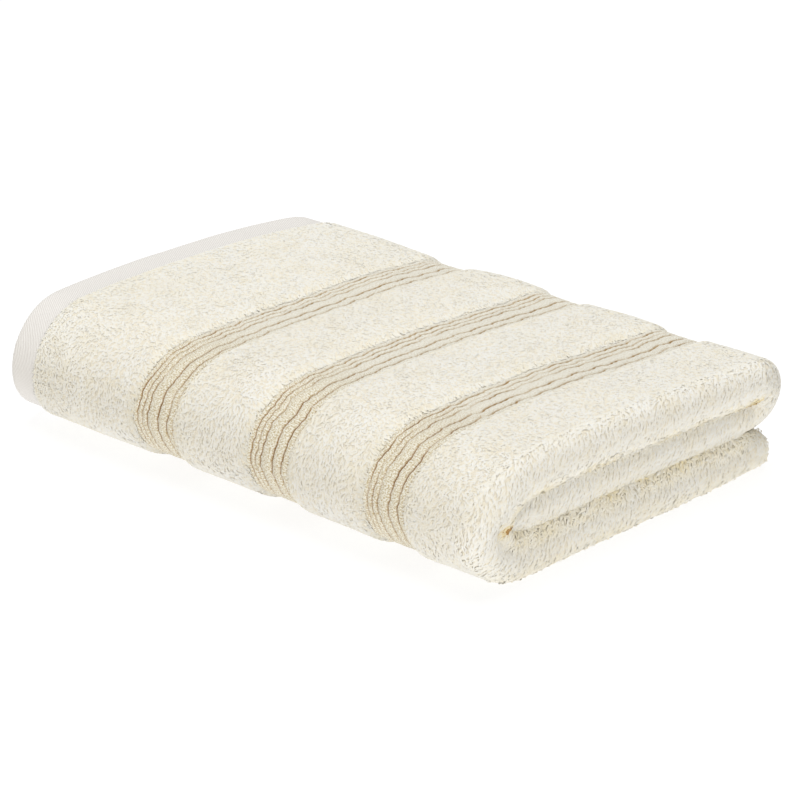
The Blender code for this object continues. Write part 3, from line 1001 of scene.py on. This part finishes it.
@cache
def yarn_weave():
    """Height and gaps of a weave on the cloth's flat coordinates.

    The two sets of yarns are sine waves along and across the cloth. Twill is 0 for a plain
    weave and 1 for a twill, whose lines lean against the hem's edge by the slope.
    """
    group, nodes, source, sink = new_group(
        "yarn weave", [("Pitch", "NodeSocketFloat", 0.0006), ("Twill", "NodeSocketFloat", 0.0),
                       ("Slope", "NodeSocketFloat", 0.7)],
        [("Height", "NodeSocketFloat"), ("Gap", "NodeSocketFloat")])
    flat = nodes.add("ShaderNodeUVMap", uv_map="cloth").outputs[0]
    parts = nodes.add("ShaderNodeSeparateXYZ", {0: flat})
    turns = nodes.math("DIVIDE", 2 * math.pi, source.outputs["Pitch"])
    along = nodes.math("MULTIPLY", parts.outputs[0], turns)
    across = nodes.math("MULTIPLY", parts.outputs[1], turns)
    plain = nodes.math("MULTIPLY", nodes.math("SINE", along), nodes.math("SINE", across))
    leaning = nodes.math("MULTIPLY", across, source.outputs["Slope"])
    twill = nodes.math("SINE", nodes.math("ADD", along, leaning))
    blend = nodes.add("ShaderNodeMix", {0: source.outputs["Twill"], 2: plain, 3: twill},
                      data_type="FLOAT")
    height = nodes.math("MULTIPLY_ADD", blend.outputs[0], 0.5, 0.5)
    gap = nodes.math("POWER", nodes.math("SUBTRACT", 1.0, height), 2.0)
    nodes.feed(sink, {"Height": height, "Gap": gap})
    return group


@cache
def pile_material():
    """Cream loops with painted shade: warmer and darker at the root, paler at the tip, warm to
    brown where shaded.
    """
    material, nodes, shader = new_material("cream pile", roughness=0.9, sheen=0.25)
    toned = nodes.math("MULTIPLY", nodes.attribute("tone"), TONE_REACH)
    height = nodes.clamp(nodes.math("ADD", nodes.attribute("level"), toned))
    # painted shade: warm, then dark brown past 1
    shade_warmth = nodes.attribute("shade_warmth")
    warm_shade = nodes.mix(nodes.clamp(shade_warmth), nodes.mix(height, PILE_ROOT_SHADE, PILE_TIP), PILE_SHADE_WARM)
    deep = nodes.clamp(nodes.math("SUBTRACT", shade_warmth, 1.0))
    nodes.finish(shader, nodes.mix(deep, warm_shade, PILE_DEEP_SHADE))
    return material


@cache
def ground_material():
    """The ground weave between the loops, warmer in part as painted shade."""
    material, nodes, shader = new_material("terry ground", roughness=0.95, sheen=0.1)
    dye = nodes.group(uneven_dye())
    dark = tuple(GROUND_SHADE * part for part in GROUND_COLOR_AND_SHADE[:3]) + (1.0,)
    colour = nodes.mix(dye.outputs["Patches"], dark, GROUND_COLOR_AND_SHADE)
    nodes.finish(shader, colour, dye.outputs["Specks"], distance=0.0004, strength=0.8)
    return material


@cache
def hem_material():
    """Fine twill of the hems and the selvedges."""
    material, nodes, shader = new_material("hem twill", roughness=0.85, sheen=0.2)
    weave = nodes.group(yarn_weave(), {"Pitch": TWILL_PITCH, "Twill": 1.0})
    dye = nodes.group(uneven_dye(), {"Patch Scale": 120.0})
    lines = nodes.math("MULTIPLY", weave.outputs["Gap"], TWILL_CONTRAST)
    colour = nodes.mix(lines, HEM_COLOR, HEM_LINE)
    patches = nodes.math("MULTIPLY", dye.outputs["Patches"], HEM_PATCHES)
    nodes.finish(shader, nodes.mix(patches, colour, HEM_LINE), weave.outputs["Height"],
                 distance=0.00010, strength=0.9)
    return material


@cache
def border_material():
    """Beige ribs with a speckled plain weave, and brown grooves.

    Painted light: where the shade tint is 0, the ribs are pale, with fewer specks, and the grooves
    paler.
    """
    material, nodes, shader = new_material("woven border", roughness=0.85, sheen=0.2)
    weave = nodes.group(yarn_weave(), {"Pitch": WEAVE_PITCH, "Twill": 0.0})
    dye = nodes.group(uneven_dye(), {"Patch Scale": 180.0, "Speck Scale": 2000.0})
    shade_tint = nodes.attribute("shade_tint")
    flat = nodes.add("ShaderNodeUVMap", uv_map="cloth").outputs[0]
    floats = nodes.add("ShaderNodeMapping", {0: flat, 3: FLOAT_SCALE}).outputs[0]
    grains = nodes.add("ShaderNodeTexNoise", {"Vector": floats, "Scale": 1.0, "Detail": 1.0})

    def grain_mask(start, full, most):
        inputs = {0: grains.outputs["Fac"], 1: start, 2: full, 3: 0.0, 4: most}
        return nodes.add("ShaderNodeMapRange", inputs).outputs[0]

    # white floats of the weave, and painted light on the ribs where the shade tint is low
    white = nodes.math("MAXIMUM", grain_mask(*WHITE_GRAINS), nodes.math("SUBTRACT", 1.0, shade_tint))
    between = nodes.math("ADD", weave.outputs["Gap"], 0.5)
    specks = nodes.math("MULTIPLY", between, grain_mask(*BROWN_GRAINS))
    shown = nodes.math("ADD", nodes.math("MULTIPLY", shade_tint, 1.0 - LEAST_SPECKS), LEAST_SPECKS)
    rib = nodes.mix(nodes.math("MULTIPLY", specks, shown),
                    nodes.mix(white, RIB_COLOR, RIB_PALE), RIB_SPECK)
    gain = nodes.math("SUBTRACT", GROOVE_GAIN, nodes.math("MULTIPLY", shade_tint, GROOVE_GAIN_FALL))
    deep = nodes.clamp(nodes.math("MULTIPLY", nodes.attribute("groove"), gain))
    colour = nodes.mix(deep, rib, nodes.mix(shade_tint, GROOVE_PALE, GROOVE_COLOR))
    rough = nodes.math("MULTIPLY", dye.outputs["Specks"], YARN_ROUGHNESS)
    height = nodes.math("ADD", weave.outputs["Height"], rough)
    nodes.finish(shader, colour, height, distance=0.00012, strength=0.9)
    return material


# ---- the studio

FLOOR_HALF = 6.0
FLOOR_WHITE = (0.25, 0.25, 0.25, 1.0)
FLOOR_GLOW = 0.82
WORLD_LIGHT = 0.34
WORLD_COLOR = (1.0, 0.958, 0.84, 1.0)  # what reaches between the loops is warm
Softbox = namedtuple("Softbox", "name place size power colour")
SOFTBOXES = (
    Softbox("top light", (-0.15, 0.10, 1.25), (1.2, 1.2), 14.4, (0.925, 0.947, 0.99)),
    # low, so that it reaches into the creases
    Softbox("front light", (1.53, -1.42, 0.46), (2.2, 0.9), 18.4, (1.0, 0.99, 0.965)),
)
LIGHT_AIM = Vector((0.0, 0.0, 0.02))
CAMERA_AZIMUTH = math.radians(43.20)
CAMERA_ELEVATION = math.radians(22.60)
CAMERA_ROLL = math.radians(-0.19)
CAMERA_TARGET = Vector((-0.0083, 0.0125, 0.0120))
CAMERA_DISTANCE = 1.565
CAMERA_LENS, CAMERA_SENSOR, CAMERA_CLIP = 180.0, 36.0, 50.0


def build_floor():
    """A plain white floor. It glows a little, as a light table does, so shadows stay faint."""
    corners = FLOOR_HALF * np.array([(-1, -1, 0), (1, -1, 0), (1, 1, 0), (-1, 1, 0)])
    mesh = bpy.data.meshes.new("floor")
    mesh.from_pydata(corners.tolist(), [], [(0, 1, 2, 3)])
    material, nodes, shader = new_material("white floor", roughness=1.0, sheen=0.0)
    nodes.feed(shader, {"Base Color": FLOOR_WHITE, "Specular IOR Level": 0.0,
                        "Emission Color": (1.0, 1.0, 1.0, 1.0),
                        "Emission Strength": FLOOR_GLOW})
    mesh.materials.append(material)
    floor = new_object("floor", mesh)


def light_studio():
    """An even world, and area lights that point from their places to the towel."""
    world = bpy.data.worlds.new("studio")
    world.use_nodes = True
    background = world.node_tree.nodes["Background"]
    background.inputs["Color"].default_value = WORLD_COLOR
    background.inputs["Strength"].default_value = WORLD_LIGHT
    bpy.context.scene.world = world
    for box in SOFTBOXES:
        light = bpy.data.lights.new(box.name, "AREA")
        light.shape = "RECTANGLE"
        light.size, light.size_y = box.size
        light.energy = box.power
        light.color = box.colour
        lamp = new_object(box.name, light)
        lamp.location = box.place
        way = LIGHT_AIM - Vector(box.place)
        lamp.rotation_euler = way.to_track_quat("-Z", "Y").to_euler()


def place_camera():
    """The photograph's view: far away and long, so that its lines hardly converge."""
    flat = math.cos(CAMERA_ELEVATION)
    back = Vector((math.sin(CAMERA_AZIMUTH) * flat, -math.cos(CAMERA_AZIMUTH) * flat,
                   math.sin(CAMERA_ELEVATION)))
    right = Vector((math.cos(CAMERA_AZIMUTH), math.sin(CAMERA_AZIMUTH), 0.0))
    up = back.cross(right)
    turned = Matrix((right, up, back)).transposed() @ Matrix.Rotation(CAMERA_ROLL, 3, "Z")
    lens = bpy.data.cameras.new("camera")
    lens.lens = CAMERA_LENS
    lens.sensor_width = CAMERA_SENSOR
    lens.clip_end = CAMERA_CLIP
    camera = new_object("camera", lens)
    camera.matrix_world = (Matrix.Translation(CAMERA_TARGET + back * CAMERA_DISTANCE)
                           @ turned.to_4x4())
    bpy.context.scene.camera = camera


# ---- the whole

cloth = build_sheet()
borders = [build_border(number, start) for number, start in enumerate(BORDER_STARTS, 1)]
pile = build_all_pile()
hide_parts("towel")
build_floor()
light_studio()
place_camera()
bpy.context.scene.view_settings.view_transform = "Standard"
